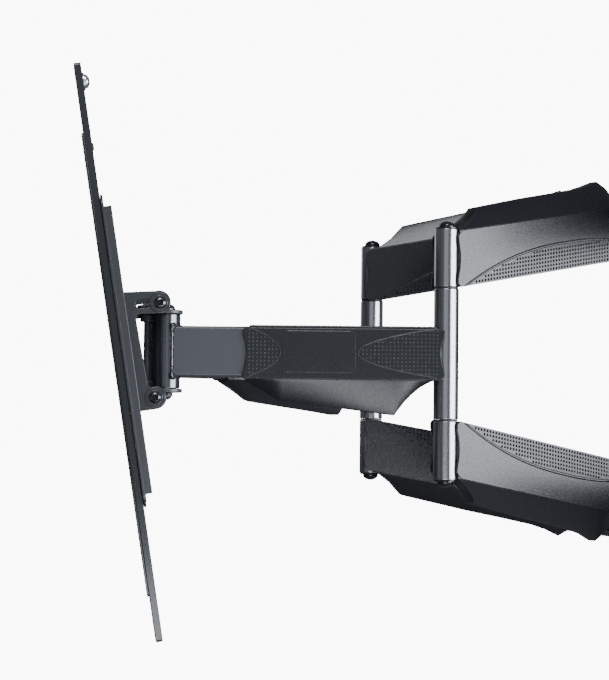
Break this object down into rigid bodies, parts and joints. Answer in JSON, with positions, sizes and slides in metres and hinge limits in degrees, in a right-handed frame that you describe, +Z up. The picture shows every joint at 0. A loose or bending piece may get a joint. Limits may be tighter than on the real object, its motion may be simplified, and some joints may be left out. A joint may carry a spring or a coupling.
{
  "type": "full motion tv wall mount",
  "caption": "Wall mount with paired folding arms, a swivel head and a tilting plate whose two upright rails carry a flat screen.",
  "frame": {"origin": "centre of the wall plate's back face, on the wall", "axes": "+Y into the wall, so the mount reaches towards -Y; +Z up; +X to the right of someone who faces the screen side"},
  "size_m": [0.48, 0.7089, 0.5148],
  "materials": {
    "black_steel": "satin black powder coat",
    "grey_steel": "satin charcoal paint",
    "gloss_steel": "gloss black enamel",
    "black_plastic": "fine-grained moulded plastic",
    "black_oxide": "black oxide",
    "zinc": "bright zinc plate"
  },
  "bodies": {
    "wall": {"wall_plate": "black_steel", "wall_bracket_upper": "black_steel", "wall_bracket_lower": "black_steel", "wall_pivot_pin_upper_right": "black_oxide", "wall_pivot_pin_upper_left": "black_oxide", "wall_pivot_pin_lower_right": "black_oxide", "wall_pivot_pin_lower_left": "black_oxide", "lag_screw_upper_right": "zinc", "lag_screw_upper_left": "zinc", "lag_screw_lower_right": "zinc", "lag_screw_lower_left": "zinc"},
    "rear_arm_right": {"rear_arm_upper_right": "grey_steel", "rear_arm_lower_right": "grey_steel", "rear_cover_upper_right": "black_plastic", "rear_cover_lower_right": "black_plastic", "elbow_shaft_right": "black_oxide", "elbow_cap_upper_right": "gloss_steel", "elbow_cap_lower_right": "gloss_steel"},
    "forearm_right": {"forearm_right": "grey_steel", "forearm_cover_right": "black_plastic", "forearm_cable_cover_right": "black_plastic"},
    "rear_arm_left": {"rear_arm_upper_left": "grey_steel", "rear_arm_lower_left": "grey_steel", "rear_cover_upper_left": "black_plastic", "rear_cover_lower_left": "black_plastic", "elbow_shaft_left": "black_oxide", "elbow_cap_upper_left": "gloss_steel", "elbow_cap_lower_left": "gloss_steel"},
    "forearm_left": {"forearm_left": "grey_steel", "forearm_cover_left": "black_plastic", "forearm_cable_cover_left": "black_plastic"},
    "yoke": {"yoke_plate_upper": "grey_steel", "yoke_plate_lower": "grey_steel", "head_pivot_bolt_right": "black_oxide", "head_pivot_bolt_left": "black_oxide", "swivel_bushing_upper": "grey_steel", "swivel_bushing_lower": "grey_steel"},
    "swivel_head": {"swivel_bracket_upper": "black_steel", "swivel_bracket_lower": "black_steel", "swivel_pin": "black_oxide", "tilt_pivot_bolt_right": "black_oxide", "tilt_pivot_bolt_left": "black_oxide", "tilt_lock_bolt_right": "black_oxide", "tilt_lock_bolt_left": "black_oxide"},
    "tilt_head": {"tilt_side_plate_right": "black_steel", "tilt_side_plate_left": "black_steel", "head_plate": "black_steel", "carrier_plate": "black_steel", "screen_plate": "black_steel", "screen_rail_right": "gloss_steel", "screen_rail_left": "gloss_steel", "screen_screw_upper_right": "zinc", "screen_screw_upper_left": "zinc", "screen_screw_lower_right": "zinc", "screen_screw_lower_left": "zinc"}
  },
  "joints": [
    {"name": "arm_extension", "type": "hinge", "parent": "wall", "child": "rear_arm_right", "pos_m": [0.018, -0.045, 0], "axis": [0, 0, 1], "range_deg": [-13.5, 40]},
    {"name": "elbow_right", "type": "hinge", "parent": "rear_arm_right", "child": "forearm_right", "pos_m": [0.10684, -0.31053, 0], "axis": [0, 0, 1], "range_deg": [-80.5, 27.5]},
    {"name": "head_pivot_right", "type": "hinge", "parent": "forearm_right", "child": "yoke", "pos_m": [0.018, -0.57606, 0], "axis": [0, 0, 1], "range_deg": [-14, 40.5]},
    {"name": "shoulder_left", "type": "hinge", "parent": "wall", "child": "rear_arm_left", "pos_m": [-0.018, -0.045, 0], "axis": [0, 0, 1], "range_deg": [-40.5, 14]},
    {"name": "elbow_left", "type": "hinge", "parent": "rear_arm_left", "child": "forearm_left", "pos_m": [-0.10684, -0.31053, 0], "axis": [0, 0, 1], "range_deg": [-27.5, 80.5]},
    {"name": "head_swivel", "type": "hinge", "parent": "yoke", "child": "swivel_head", "pos_m": [0, -0.59156, 0], "axis": [0, 0, 1], "range_deg": [-7.8, 32.2]},
    {"name": "screen_tilt", "type": "hinge", "parent": "swivel_head", "child": "tilt_head", "pos_m": [0.00154, -0.58443, -0.0467], "axis": [0.9774, -0.2113, 0], "range_deg": [-8.9, 0.1]}
  ],
  "couplings": [
    {"joint": "elbow_right", "follows": "arm_extension", "ratio": -2},
    {"joint": "head_pivot_right", "follows": "arm_extension", "ratio": 1},
    {"joint": "shoulder_left", "follows": "arm_extension", "ratio": -1},
    {"joint": "elbow_left", "follows": "arm_extension", "ratio": 2}
  ]
}
